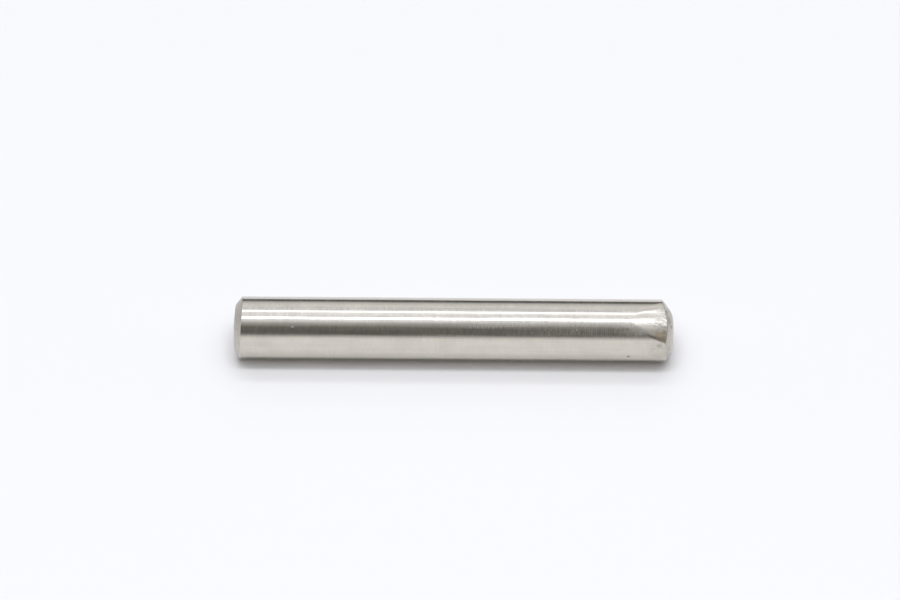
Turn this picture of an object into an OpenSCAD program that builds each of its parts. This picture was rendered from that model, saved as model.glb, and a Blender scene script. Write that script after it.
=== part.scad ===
// Dowel pin: one piece of round steel, ground to size, with a bevel and a crowned face at each end.
// The bevels were ground by hand: they run a little off centre, and the faces lean a little.
// The far end is worn flatter on one side, where it has worked in a loose hole: that wall takes
// the hole's radius across the pin, and sweeps in towards the end along it.
// The pin lies along X, with its worn end at +X. The origin is on its axis, halfway along.
// Turns about the pin are counted from the front, -Y, up over the top, +Z.

/* [Shank] */
// Diameter of the ground shank
pin_d = 12; // [9:0.1:16]
// Length over both ends
pin_len = 85; // [50:0.5:140]
// Radius of the crowned end faces
crown_r = 36; // [28:1:42]

/* [Plain end] */
// Length of the bevel along the pin
plain_bevel_len = 1.3; // [1:0.05:2]
// Depth of the bevel, from the shank in to the end face
plain_bevel_depth = 1.7; // [1.5:0.05:2.8]
// Radius where the bevel rolls over into the end face
plain_rim_r = 0.35; // [0.1:0.05:0.8]
// How far the bevel's centre lies off the pin's axis
plain_runout = 0.6; // [0:0.05:0.7]
// Turn at which that makes the bevel widest
plain_runout_turn = 70; // [0:5:355]
// How far the bevel and the face lean from square, in degrees
plain_lean = 1.4; // [0:0.1:3]
// Turn at which they lean back
plain_lean_turn = 185; // [0:5:355]

/* [Worn end] */
// Length of the bevel along the pin
worn_bevel_len = 1.95; // [1.2:0.05:2.4]
// Depth of the bevel, from the shank in to the end face
worn_bevel_depth = 2.65; // [1.8:0.05:2.9]
// Radius where the bevel rolls over into the end face
worn_rim_r = 2.6; // [0.2:0.1:3]
// How far the bevel's centre lies off the pin's axis
worn_runout = 0.55; // [0:0.05:0.7]
// Turn at which that makes the bevel widest
worn_runout_turn = 180; // [0:5:355]
// How far the bevel and the face lean from square, in degrees
worn_lean = 1.4; // [0:0.1:3]
// Turn at which they lean back
worn_lean_turn = 60; // [0:5:355]

/* [Wear] */
// Length of the worn wall, from where it starts to the end face
wear_len = 8.4; // [3:0.2:10]
// Radius of the worn wall along the pin
wear_sweep_r = 46; // [30:1:90]
// How much wider than the pin the loose hole was
wear_slack = 6; // [1:0.2:10]
// Turn at which the worn wall is deepest
wear_turn = 65; // [0:1:359]

/* [Hidden] */
$fn = 128;
// Waste past the finished form, so that no two cuts share a face
waste = 1;
// How far before its start the worn wall's crest lies, so that the wall cuts in at an angle
wear_entry = 1;
pin_r = pin_d / 2;
half_len = pin_len / 2;
wear_r = pin_r + wear_slack / 2;

// Half of the outline of a finished end: the radius is along X, and the tip is at the origin
module end_outline(bevel_len, bevel_depth, rim_r) {
    bevel_slant = atan2(bevel_len, bevel_depth);
    bevel_lift = (pin_r - bevel_depth) * sin(bevel_slant) + crown_r * cos(bevel_slant);
    rim_slant = bevel_slant - acos((bevel_lift - rim_r) / (crown_r - rim_r));
    rim_x = (crown_r - rim_r) * sin(rim_slant);
    rim_y = (crown_r - rim_r) * cos(rim_slant) - crown_r;
    crown_edge_x = crown_r * sin(rim_slant);
    crown_edge_y = crown_r * cos(rim_slant) - crown_r;
    polygon([
        [0, -4 * bevel_len],
        [pin_r + bevel_depth, -4 * bevel_len],
        [pin_r + bevel_depth, -2 * bevel_len],
        [rim_x + rim_r * sin(bevel_slant), rim_y + rim_r * cos(bevel_slant)],
        [crown_edge_x, crown_edge_y],
        [0, crown_edge_y]
    ]);
    intersection() {
        translate([rim_x, rim_y])
            circle(r = rim_r);
        translate([0, rim_y - 2 * rim_r])
            square([rim_x + 2 * rim_r, 4 * rim_r]);
    }
    intersection() {
        translate([0, -crown_r])
            circle(r = crown_r);
        translate([0, rim_y])
            square([crown_edge_x, -rim_y]);
    }
}

// What is ground off the end at +X: a short bar round the end, less the finished end
module end_waste(bevel_len, bevel_depth, rim_r, runout, runout_turn, lean, lean_turn) {
    difference() {
        translate([half_len - 3 * bevel_len, 0, 0])
            rotate([0, 90, 0])
                cylinder(r = pin_r + waste, h = 3 * bevel_len + waste);
        rotate([-runout_turn, 0, 0])
            translate([half_len - crown_r * (1 - cos(lean)), runout, 0])
                rotate([runout_turn - lean_turn, 0, 0])
                    rotate([0, 90, -lean])
                        rotate_extrude()
                            end_outline(bevel_len, bevel_depth, rim_r);
    }
}

// What the loose hole has rubbed away: a block beside the end, less a ring with the hole's radius
module worn_away() {
    crest = half_len - wear_len - wear_entry;
    rotate([-wear_turn, 0, 0])
        difference() {
            translate([crest, -pin_r - waste, -pin_r - waste])
                cube([wear_len + wear_entry + waste, pin_r + waste, pin_d + 2 * waste]);
            translate([crest, sqrt(wear_sweep_r * wear_sweep_r - wear_entry * wear_entry) - pin_r, 0])
                rotate_extrude()
                    translate([wear_sweep_r - wear_r, 0])
                        circle(r = wear_r);
        }
}

module dowel_pin() {
    color("silver")
        difference() {
            rotate([0, 90, 0])
                cylinder(r = pin_r, h = pin_len + waste, center = true);
            mirror([1, 0, 0])
                end_waste(
                    plain_bevel_len, plain_bevel_depth, plain_rim_r,
                    plain_runout, plain_runout_turn, plain_lean, plain_lean_turn
                );
            end_waste(
                worn_bevel_len, worn_bevel_depth, worn_rim_r,
                worn_runout, worn_runout_turn, worn_lean, worn_lean_turn
            );
            worn_away();
        }
}

dowel_pin();
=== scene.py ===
"""Dowel pin: the looks of the ground, bevelled and worn steel pin, lit as in a small light tent.

Turns about the pin are counted from the front, -Y, up over the top, +Z. Lengths are in millimetres
until they become points or objects, which are in metres.
"""
import math

import bpy
import numpy as np
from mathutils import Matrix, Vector


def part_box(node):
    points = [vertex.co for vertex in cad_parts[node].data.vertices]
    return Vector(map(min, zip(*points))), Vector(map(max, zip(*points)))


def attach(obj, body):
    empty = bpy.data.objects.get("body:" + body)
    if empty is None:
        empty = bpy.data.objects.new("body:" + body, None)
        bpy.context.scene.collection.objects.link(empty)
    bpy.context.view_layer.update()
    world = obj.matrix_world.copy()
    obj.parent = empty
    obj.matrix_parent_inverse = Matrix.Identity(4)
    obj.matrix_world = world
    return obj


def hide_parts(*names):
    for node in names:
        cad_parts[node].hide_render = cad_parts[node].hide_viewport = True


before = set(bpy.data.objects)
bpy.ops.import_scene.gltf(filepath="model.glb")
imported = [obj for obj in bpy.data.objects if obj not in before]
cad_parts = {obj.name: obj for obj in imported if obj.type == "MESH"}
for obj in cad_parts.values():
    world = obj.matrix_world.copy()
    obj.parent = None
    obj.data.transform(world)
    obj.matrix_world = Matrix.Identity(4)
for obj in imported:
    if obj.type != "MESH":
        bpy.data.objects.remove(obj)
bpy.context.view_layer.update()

MM = 0.001

# Sizes of the finished pin, as the solid has them
CROWN_R = 36.0
PLAIN_END = {
    "side": -1,
    "bevel_len": 1.3,
    "bevel_depth": 1.7,
    "rim_r": 0.35,
    "runout": 0.6,
    "runout_turn": 70,
    "lean": 1.4,
    "lean_turn": 185,
}
WORN_END = {
    "side": 1,
    "bevel_len": 1.95,
    "bevel_depth": 2.65,
    "rim_r": 2.6,
    "runout": 0.55,
    "runout_turn": 180,
    "lean": 1.4,
    "lean_turn": 60,
}
WEAR = {"len": 8.4, "sweep_r": 46.0, "slack": 6.0, "turn": 65, "entry": 1.0}

# Rounding of the noses' edges, and the least that an edge has
EDGE = 0.05
LEAST_EDGE = 1e-6
# Rounding of the worn wall's lower and upper edges, and where they lie across it, in radii of the pin
WEAR_EDGES = (0.08, 0.3)
WEAR_SIDES = (-0.5, 0.5)
# Signed distance that stands for no wall, before the crest where the worn wall begins
NO_WALL = -1

# Mesh density: points round the pin, and spacing of the rings on the plain shank and on the worn part
POINTS_ROUND = 320
RING_SHANK = 2.0
RING_WEAR = 0.12
# A fan of rays for each nose: how far inside the tip it starts, and its steps on the bevel and the face
FAN_IN = 3.2
FAN_BEVEL = 0.6
FAN_FACE = 4.0
# Lean of the rays at which the fan's finer steps end
FAN_SPLIT = 45
# How often a ray is halved to find the surface
HALVINGS = 36

# Depth over which a mark fades below a surface, and the depth at which the wall is wholly worn
FADE = 0.06
WHOLLY_WORN = 0.5
# How dull the worn nose is, next to the plain one
WORN_NOSE_DULLNESS = 0.8
# Patches at the front of the worn end: where each starts, is full, and ends, from the tip and in turn
STAINED = {"from_tip": (1.2, 1.7, 3.6, 5.2), "turn": (16, 21, 40, 49)}
SCUFFED = {"from_tip": (1.2, 1.7, 6.5, 11.5), "turn": (34, 41, 52, 62)}
RUBBED = {"from_tip": (1.2, 1.7, 20, 55), "turn": (33, 40, 50, 60)}
PATCH_SHARES = (0, 1, 1, 0)

# Colours of the steel: as ground, in its darker marks, on the noses and the worn wall, and in dark spots
# and painted shade
BRIGHT = (0.680, 0.639, 0.573, 1)
WORKED = (0.585, 0.550, 0.493, 1)
NOSE_DULL = (0.52, 0.49, 0.445, 1)
WALL_DULL = (0.50, 0.472, 0.422, 1)
STAIN = (0.50, 0.42, 0.295, 1)
DARK_SPOT_AND_SHADE = (0.14, 0.125, 0.105, 1)

# Noises along X, Y and Z, in features for each millimetre: lines run round the pin, and streaks along it
LINES = (5.0, 0.8, 0.8)
STREAKS = (0.06, 2.2, 2.2)
CLOUD = (0.3, 0.3, 0.3)
BLOTCH = (1.6, 1.6, 1.6)
GRIT = (2.0, 2.4, 2.4)
NOISE_DETAIL = 3.0
# Stretch of a noise, or of a sum of noises, that is used
GROUND_RANGE = (0.75, 1.3)
COLOUR_RANGE = (1.15, 1.85)
BLOTCH_RANGE = (0.3, 0.7)
GRIT_RANGE = (0.35, 0.65)
# What is left in the gaps of the blotches and of the grit
BLOTCH_LEAST = 0.3
GRIT_LEAST = 0.2

# Roughness of the ground shank, and what each kind of mark adds to it
GROUND_ROUGH = (0.07, 0.23)
ROUGHER = {"rubbed": 0.12, "ends": 0.28, "gritty": 0.26, "scuffed": 0.25, "stain": 0.25, "nicks": 0.3}
GRIT_HEIGHT = 0.018

# Single dark spots, as x, front, up, radius and strength: the pit comes first; several are painted shade
DARK_SPOTS_AND_SHADE = (
    # The pit: a dark dot of painted shade in its hollow
    (33.7, 5.9, -1.1, 0.3, 1.8),
    # Dark spots along the inner edge of the worn nose's upper bevel
    (41.0, 0.0, 5.2, 0.5, 0.6),
    (41.5, 1.5, 4.4, 0.9, 0.4),
    (41.9, 2.3, 3.4, 0.5, 0.7),
    # Painted shade: a smudge below the worn wall's lower edge
    (39.6, 5.7, 1.75, 0.7, 0.4),
    (39.8, 5.9, 0.6, 2.8, 0.25),
    # Painted shade: the worn nose's lower bevel darkened where it would show the floor's contact shadow
    (41.3, 5.2, -1.4, 0.9, 0.4),
    (41.6, 5.0, 0.2, 0.6, 0.3),
)
# Small rough nicks, as x, front, up and radius
NICKS = (
    (-31.1, 4.0, 4.5, 0.25),
    (-30.8, 4.0, 4.5, 0.25),
    (23.7, 4.1, 4.4, 0.15),
)

# The floor in metres, and the plain surround that it fades into between two distances from the pin
FLOOR_WHITE = (0.80, 0.788, 0.778, 1)
FLOOR_REACH = 20.0
PALE = (0.955, 0.965, 1.0, 1)
PALE_FROM, PALE_TO = 0.12, 0.6

# Brightness of the tent in degrees from the front, past its dark opening and over the top, to the back
TENT = (
    (0, 1.00),
    (8, 0.97),
    (13, 0.73),
    (18, 0.50),
    (21, 0.25),
    (26, 0.135),
    (32, 0.165),
    (40, 0.155),
    (50, 0.21),
    (58, 0.39),
    (66, 0.63),
    (74, 1.11),
    (88, 1.07),
    (100, 1.21),
    (106, 1.34),
    (116, 1.01),
    (122, 0.88),
    (135, 1.00),
    (145, 0.91),
    (152, 0.80),
    (158, 0.62),
    (164, 0.25),
    (168, 0.13),
    (178, 0.13),
    (180, 0.50),
)
TENT_TOP = max(level for degrees, level in TENT)
# Its white below the opening, in it, about the lamps over the top, and at the back, each from an angle on
LAMP_WHITE = (0.92, 0.943, 1.0)
WHITES = (
    (0, (0.965, 0.97, 0.985)),
    (24, (0.965, 0.965, 0.94)),
    (60, LAMP_WHITE),
    (130, (0.965, 0.98, 1.0)),
)
# Share of the light that is left at the tent's two ends, where it dims, and how much sooner at the back
SIDE_SHARE = 0.4
SIDE_FROM, SIDE_TO = 0.45, 0.7
SIDE_BACK = 0.3

# Distance of the lamps in metres
LAMP_AWAY = 3.0
# Lamps that the steel shows, as turn, radiance, and length and width for each metre of distance
STRIPS = (
    (83.6, 3.15, 1.4, 0.11),
    (111.4, 1.47, 1.4, 0.15),
)
# Lamps for the floor alone, written alike: a soft fill, and the part of the strips that a photograph clips
FLOOR_LAMPS = (
    (60, 2.15, 0.6, 0.85),
    (84, 9.0, 0.6, 0.16),
    (111.4, 3.6, 0.6, 0.15),
)

# The photograph's frame, and where the pin lies in it, in pixels and degrees
FRAME_W, FRAME_H = 900, 600
PIXEL_MIDDLE = 0.5
PIN_D_PX = 62.08
PIN_X_PX, PIN_Y_PX = 453.2, 328.4
CAMERA_UP = 46.5
CAMERA_ROUND = 0.59
FOCAL_PX = 5000
SENSOR = 36.0
CLIP_NEAR, CLIP_FAR = 0.01, 100


def toward(turn):
    """Unit vector (front, up) at a turn about the pin."""
    angle = math.radians(turn)
    return math.cos(angle), math.sin(angle)


def split(turn, front, up):
    """How far a point lies along the direction of a turn, and across it."""
    turn_front, turn_up = toward(turn)
    return front * turn_front + up * turn_up, up * turn_front - front * turn_up


def meet(a, b, width):
    """Greater of two signed distances, with the edge where they meet rounded over that width."""
    flat = np.minimum(np.maximum(a, b), -width)
    return flat + np.hypot(np.maximum(a + width, 0), np.maximum(b + width, 0))


class Pin:
    """The finished form as signed distances, in millimetres, from points (x, front, up)."""

    def __init__(self, length, diameter):
        self.half = length / 2
        self.r = diameter / 2

    def shank(self, x, front, up):
        return np.hypot(front, up) - self.r

    def place(self, end, x, front, up):
        """Where points lie in an end's own frame: past its tip, and out from its leaning axis."""
        lean = math.radians(end["lean"])
        off_front, off_up = toward(end["runout_turn"])
        front, up = front + end["runout"] * off_front, up + end["runout"] * off_up
        along, across = split(end["lean_turn"], front, up)
        past = end["side"] * x - self.half + CROWN_R * (1 - math.cos(lean))
        tipped = along * math.cos(lean) - past * math.sin(lean)
        return past * math.cos(lean) + along * math.sin(lean), np.hypot(tipped, across)

    def nose(self, end, x, front, up):
        """A whole end: its bevel, which rolls over into its crowned face."""
        past, out = self.place(end, x, front, up)
        slant = math.atan2(end["bevel_len"], end["bevel_depth"])
        bevel = math.sin(slant) * (out - self.r + end["bevel_depth"]) + math.cos(slant) * past
        crown = np.hypot(out, np.maximum(past + CROWN_R, 0)) - CROWN_R
        return meet(bevel, crown, end["rim_r"] * (1 - math.cos(slant)))

    def wear(self, x, front, up):
        """Wall that the loose hole rubbed: wider than the pin across it, and swept in along it."""
        hole_r = self.r + WEAR["slack"] / 2
        deep, across = split(WEAR["turn"], front, up)
        past = x - self.half + WEAR["len"] + WEAR["entry"]
        centre = self.r - math.sqrt(WEAR["sweep_r"] ** 2 - WEAR["entry"] ** 2)
        ring = np.hypot(past, deep - centre) - WEAR["sweep_r"] + hole_r
        return np.where(past > 0, np.hypot(ring, across) - hole_r, NO_WALL)

    def wear_edge(self, x, front, up):
        """Rounding of the worn wall's edge, which grows with the wall's depth up to its full size."""
        across = split(WEAR["turn"], front, up)[1]
        past = np.maximum(x - self.half + WEAR["len"], 0)
        depth = past * (past + 2 * WEAR["entry"]) / (2 * WEAR["sweep_r"])
        rounding = np.interp(across / self.r, WEAR_SIDES, WEAR_EDGES)
        return LEAST_EDGE + np.minimum(depth / 2, rounding)

    def distance(self, x, front, up):
        """The whole pin: its shank, worn at one end, and then both noses."""
        form = meet(self.shank(x, front, up), self.wear(x, front, up), self.wear_edge(x, front, up))
        for end in (PLAIN_END, WORN_END):
            form = meet(form, self.nose(end, x, front, up), EDGE)
        return form


def rays(pin):
    """Where each ring's rays start on the axis, and their lean to the end: a fan, rings and a fan."""
    bevel = np.arange(FAN_BEVEL, FAN_SPLIT, FAN_BEVEL)
    face = np.arange(FAN_SPLIT + FAN_FACE, 90 - FAN_FACE / 2, FAN_FACE)
    fan = np.concatenate([bevel, face])
    first, last = FAN_IN - pin.half, pin.half - FAN_IN
    wear_from = pin.half - WEAR["len"] - 2 * WEAR["entry"]
    shank_count = round((wear_from - first) / RING_SHANK)
    wear_count = round((last - wear_from) / RING_WEAR)
    rows = [(first, -lean) for lean in reversed(fan)]
    rows += [(x, 0) for x in np.linspace(first, wear_from, shank_count, endpoint=False)]
    rows += [(x, 0) for x in np.linspace(wear_from, last, wear_count)]
    rows += [(last, lean) for lean in fan]
    return rows


def cast(pin, rows):
    """Points (x, front, up) where the rays leave the pin, ring by ring."""
    turns = np.radians(np.arange(POINTS_ROUND) * 360 / POINTS_ROUND)
    start, lean = np.array(rows, dtype=float).T[:, :, None]
    lean = np.radians(lean)
    along = np.sin(lean) * np.ones_like(turns)
    front = np.cos(lean) * np.cos(turns)
    up = np.cos(lean) * np.sin(turns)
    near, far = np.zeros_like(front), np.full_like(front, 2 * pin.r)
    for _ in range(HALVINGS):
        reach = (near + far) / 2
        inside = pin.distance(start + reach * along, reach * front, reach * up) < 0
        near, far = np.where(inside, reach, near), np.where(inside, far, reach)
    return np.stack([start + near * along, near * front, near * up], axis=-1)


def ring_faces(rings):
    """Outward faces of rings of points: the first point of all is one tip, and the last the other."""
    n = POINTS_ROUND
    last = 1 + (rings - 1) * n
    faces = []
    for j in range(n):
        k = (j + 1) % n
        faces.append((0, 1 + j, 1 + k))
        faces.append((last + n, last + k, last + j))
        for low in range(1, last, n):
            faces.append((low + j, low + n + j, low + n + k, low + k))
    return faces


def pin_mesh(pin):
    """The whole surface of the pin as one closed mesh of rings, with its worn parts marked."""
    rows = rays(pin)
    tips = cast(pin, [(rows[0][0], -90), (rows[-1][0], 90)])[:, 0]
    points = np.vstack([tips[:1], cast(pin, rows).reshape(-1, 3), tips[1:]])
    mesh = bpy.data.meshes.new("pin_body")
    corners = [(MM * x, -MM * front, MM * up) for x, front, up in points]
    mesh.from_pydata(corners, [], ring_faces(len(rows)))
    mesh.validate()
    mesh.shade_smooth()
    mark_wear(mesh, pin, *points.T)
    return mesh


def mark_wear(mesh, pin, x, front, up):
    """Mark how much of each kind of wear the points have, from 0 to 1."""
    wall = on_surface(pin.wear(x, front, up))
    plain_nose = on_surface(pin.nose(PLAIN_END, x, front, up))
    worn_nose = on_surface(pin.nose(WORN_END, x, front, up))
    worn_off = -pin.shank(x, front, up)
    mark(mesh, "worn", wall * np.clip(worn_off / WHOLLY_WORN, 0, 1))
    mark(mesh, "ends", np.maximum(plain_nose, WORN_NOSE_DULLNESS * worn_nose))
    mark(mesh, "stain", wall * patch(pin, STAINED, x, front, up))
    mark(mesh, "scuff", patch(pin, SCUFFED, x, front, up))
    mark(mesh, "rubbed", patch(pin, RUBBED, x, front, up))


def on_surface(distance):
    """1 for points on a surface, down to 0 where they lie deeper inside it."""
    return np.clip(1 + distance / FADE, 0, 1)


def patch(pin, limits, x, front, up):
    """How much points lie in a patch, from 0 to 1."""
    turn = np.degrees(np.arctan2(up, front))
    share_along = np.interp(pin.half - x, limits["from_tip"], PATCH_SHARES)
    share_round = np.interp(turn, limits["turn"], PATCH_SHARES)
    return share_along * share_round


def mark(mesh, name, values):
    layer = mesh.attributes.new(name, "FLOAT", "POINT")
    layer.data.foreach_set("value", values.astype(np.float32))


class Graph:
    """Short ways to add shader nodes to one tree."""

    def __init__(self, tree):
        self.nodes, self.links = tree.nodes, tree.links

    def add(self, kind, **inputs):
        node = self.nodes.new("ShaderNode" + kind)
        for name, value in inputs.items():
            self.feed(node.inputs[name.replace("_", " ")], value)
        return node

    def feed(self, socket, value):
        if isinstance(value, bpy.types.NodeSocket):
            self.links.new(value, socket)
        else:
            socket.default_value = value

    def math(self, operation, a, b=0.0):
        node = self.add("Math")
        node.operation = operation
        self.feed(node.inputs[0], a)
        self.feed(node.inputs[1], b)
        return node.outputs[0]

    def plus(self, a, b):
        return self.math("ADD", a, b)

    def times(self, a, b):
        return self.math("MULTIPLY", a, b)

    def most(self, a, b):
        return self.math("MAXIMUM", a, b)

    def spread(self, value, low, high, start=0.0, end=1.0):
        """Value between start and end, stretched between two numbers."""
        node = self.add("MapRange", Value=value, From_Min=start, From_Max=end, To_Min=low, To_Max=high)
        return node.outputs[0]

    def noise(self, scale):
        """Noise in object space, with its own scale along X, Y and Z."""
        place = self.add("TexCoord").outputs["Object"]
        sized = self.add("Mapping", Vector=place, Scale=tuple(s / MM for s in scale))
        noise = self.add("TexNoise", Vector=sized.outputs[0], Scale=1.0, Detail=NOISE_DETAIL)
        return noise.outputs["Fac"]

    def away(self, centre):
        """Distance from a point in object space."""
        node = self.add("VectorMath")
        node.operation = "DISTANCE"
        self.feed(node.inputs[0], self.add("TexCoord").outputs["Object"])
        self.feed(node.inputs[1], centre)
        return node.outputs["Value"]

    def spot(self, x, front, up, size):
        """A round mark on the surface, full to half of its radius, which fades out over the rest."""
        away = self.away((MM * x, -MM * front, MM * up))
        return self.spread(away, 1, 0, MM * size / 2, MM * size)

    def seen(self, *kinds):
        """Whether a ray is one of the kinds, such as Camera or Glossy."""
        path = self.add("LightPath")
        found = 0.0
        for kind in kinds:
            found = self.most(found, path.outputs[f"Is {kind} Ray"])
        return found

    def blend(self, share, a, b):
        node = self.add("MixRGB")
        for socket, value in zip(node.inputs, (share, a, b)):
            self.feed(socket, value)
        return node.outputs[0]

    def attribute(self, name):
        node = self.add("Attribute")
        node.attribute_name = name
        return node.outputs["Fac"]

    def ramp(self, value, stops):
        """Colours by value: each stop is a place from 0 to 1, and a colour."""
        node = self.add("ValToRGB", Fac=value)
        elements = node.color_ramp.elements
        while len(elements) < len(stops):
            elements.new(0.5)
        for element, (place, colour) in zip(elements, stops):
            element.position = place
            element.color = (*colour, 1)
        return node.outputs[0]


def steel_marks(graph):
    """All that the steel's colour, roughness and bump are mixed from, by name."""
    marks = {name: graph.attribute(name) for name in ("worn", "ends", "stain", "scuff", "rubbed")}
    marks["ground"] = graph.plus(graph.noise(LINES), graph.noise(STREAKS))
    marks["blotch"] = graph.spread(graph.noise(BLOTCH), BLOTCH_LEAST, 1.0, *BLOTCH_RANGE)
    marks["grit"] = graph.spread(graph.noise(GRIT), GRIT_LEAST, 1.0, *GRIT_RANGE)
    marks["gritty"] = graph.times(marks["worn"], marks["grit"])
    marks["scuffed"] = graph.times(marks["scuff"], marks["blotch"])
    marks["nicks"] = 0.0
    for nick in NICKS:
        marks["nicks"] = graph.most(marks["nicks"], graph.spot(*nick))
    return marks


def steel_colour(graph, marks):
    """Bright ground steel, duller on the worn wall and the noses, with a stain, dark spots and spots of
    painted shade.
    """
    tone = graph.plus(marks["ground"], graph.noise(CLOUD))
    colour = graph.blend(graph.spread(tone, 0, 1, *COLOUR_RANGE), WORKED, BRIGHT)
    colour = graph.blend(marks["gritty"], colour, WALL_DULL)
    colour = graph.blend(graph.times(marks["ends"], marks["blotch"]), colour, NOSE_DULL)
    colour = graph.blend(graph.times(marks["stain"], marks["blotch"]), colour, STAIN)
    # Dark spots: the pit, the worn wall's lower edge and the worn nose's lower bevel get painted shade
    for *place, strength in DARK_SPOTS_AND_SHADE:
        share = graph.times(graph.spot(*place), strength)
        colour = graph.blend(graph.times(share, marks["blotch"]), colour, DARK_SPOT_AND_SHADE)
    return colour


def steel_roughness(graph, marks):
    """Roughness of the ground lines and streaks, with what the marks add to it."""
    rough = graph.spread(marks["ground"], *GROUND_ROUGH, *GROUND_RANGE)
    for name, added in ROUGHER.items():
        rough = graph.plus(rough, graph.times(marks[name], added))
    return rough


def steel_bump(graph, marks):
    """Fine grit on the worn wall and where the front is scuffed."""
    grain = graph.times(graph.most(marks["worn"], marks["scuff"]), marks["grit"])
    return graph.add("Bump", Height=grain, Distance=GRIT_HEIGHT * MM, Strength=1.0).outputs[0]


def steel():
    """Ground steel: bright and a little warm, marked round the pin, dull at the ends and stained."""
    material = bpy.data.materials.new("ground_steel")
    material.use_nodes = True
    graph = Graph(material.node_tree)
    shader = material.node_tree.nodes["Principled BSDF"]
    shader.inputs["Metallic"].default_value = 1.0
    marks = steel_marks(graph)
    graph.feed(shader.inputs["Base Color"], steel_colour(graph, marks))
    graph.feed(shader.inputs["Roughness"], steel_roughness(graph, marks))
    graph.feed(shader.inputs["Normal"], steel_bump(graph, marks))
    return material


def floor_white(low):
    """Matt white under the pin, which fades into the plain surround farther off."""
    material = bpy.data.materials.new("floor")
    material.use_nodes = True
    graph = Graph(material.node_tree)
    shader = material.node_tree.nodes["Principled BSDF"]
    shader.inputs["Base Color"].default_value = FLOOR_WHITE
    shader.inputs["Roughness"].default_value = 1.0
    shader.inputs["Specular IOR Level"].default_value = 0.0
    plain = graph.add("Emission", Color=PALE, Strength=1.0)
    far_off = graph.spread(graph.away((0, 0, low)), 0, 1, PALE_FROM, PALE_TO)
    mix = graph.add("MixShader", Fac=graph.times(far_off, graph.seen("Camera", "Glossy", "Transmission")))
    graph.feed(mix.inputs[1], shader.outputs[0])
    graph.feed(mix.inputs[2], plain.outputs[0])
    graph.feed(material.node_tree.nodes["Material Output"].inputs["Surface"], mix.outputs[0])
    return material


def floor(low):
    """A wide pale floor under the pin, which holds its shadow."""
    mesh = bpy.data.meshes.new("floor")
    corners = [(x * FLOOR_REACH, y * FLOOR_REACH, low) for x, y in ((-1, -1), (1, -1), (1, 1), (-1, 1))]
    mesh.from_pydata(corners, [], [(0, 1, 2, 3)])
    mesh.materials.append(floor_white(low))
    plane = bpy.data.objects.new("floor", mesh)
    bpy.context.collection.objects.link(plane)


def tent_stop(degrees, level):
    """One stop of the tent's ramp, from 0 in front to 1 at the back, with its colour."""
    white = [white for start, white in WHITES if start <= degrees][-1]
    return degrees / 180, [level / TENT_TOP * part for part in white]


def tent():
    """Soft light from a white tent with a dark opening in front, as a sky round the pin."""
    world = bpy.data.worlds.new("tent")
    bpy.context.scene.world = world
    world.use_nodes = True
    graph = Graph(world.node_tree)
    place = graph.add("TexCoord").outputs["Generated"]
    parts = graph.add("SeparateXYZ", Vector=place).outputs
    angle = graph.math("ARCTAN2", parts["Z"], graph.times(parts["Y"], -1.0))
    height = graph.math("DIVIDE", angle, math.pi)
    colour = graph.ramp(height, [tent_stop(*stop) for stop in TENT])
    side = graph.plus(graph.math("ABSOLUTE", parts["X"]), graph.times(parts["Y"], SIDE_BACK))
    strength = graph.spread(side, TENT_TOP, TENT_TOP * SIDE_SHARE, SIDE_FROM, SIDE_TO)
    camera_ray = graph.seen("Camera")
    background = world.node_tree.nodes["Background"]
    graph.feed(background.inputs["Color"], graph.blend(camera_ray, colour, PALE))
    graph.feed(background.inputs["Strength"], graph.spread(camera_ray, strength, 1.0))


def lamp(name, turn, radiance, length, width):
    """A flat lamp that faces the pin."""
    light = bpy.data.lights.new(name, "AREA")
    light.shape = "RECTANGLE"
    light.size = LAMP_AWAY * length
    light.size_y = LAMP_AWAY * width
    light.energy = radiance * math.pi * light.size * light.size_y
    light.color = LAMP_WHITE
    holder = bpy.data.objects.new(name, light)
    front, up = toward(turn)
    holder.location = (0, -LAMP_AWAY * front, LAMP_AWAY * up)
    holder.rotation_euler = (math.radians(turn) - math.pi / 2, 0, 0)
    bpy.context.collection.objects.link(holder)
    return holder


def camera(diameter):
    """The photograph's view: from the front, looking down, with the pin where it lies in the frame."""
    up, turn = math.radians(CAMERA_UP), math.radians(CAMERA_ROUND)
    back = Vector((math.sin(turn) * math.cos(up), -math.cos(turn) * math.cos(up), math.sin(up)))
    pixel = diameter / PIN_D_PX
    data = bpy.data.cameras.new("camera")
    data.sensor_width = SENSOR
    data.lens = FOCAL_PX * SENSOR / FRAME_W
    data.clip_start, data.clip_end = CLIP_NEAR, CLIP_FAR
    holder = bpy.data.objects.new("camera", data)
    aim = (-back).to_track_quat("-Z", "Y")
    right, above = aim @ Vector((1, 0, 0)), aim @ Vector((0, 1, 0))
    left_of_middle = FRAME_W / 2 - PIXEL_MIDDLE - PIN_X_PX
    under_middle = PIN_Y_PX - FRAME_H / 2 + PIXEL_MIDDLE
    middle = right * left_of_middle + above * under_middle
    holder.location = back * FOCAL_PX * pixel + middle * pixel
    holder.rotation_mode = "QUATERNION"
    holder.rotation_quaternion = aim
    bpy.context.collection.objects.link(holder)
    bpy.context.scene.camera = holder


low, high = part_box("dowel_pin")
length, diameter = high[0] - low[0], high[2] - low[2]
body = bpy.data.objects.new("pin_body", pin_mesh(Pin(length / MM, diameter / MM)))
bpy.context.collection.objects.link(body)
body.data.materials.append(steel())
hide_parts("dowel_pin")
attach(body, "root")

floor(low[2])
tent()
for i, strip in enumerate(STRIPS):
    lamp(f"strip_{i}", *strip)
for i, hidden in enumerate(FLOOR_LAMPS):
    lamp(f"floor_lamp_{i}", *hidden).visible_glossy = False
camera(diameter)
bpy.context.scene.view_settings.view_transform = "Standard"
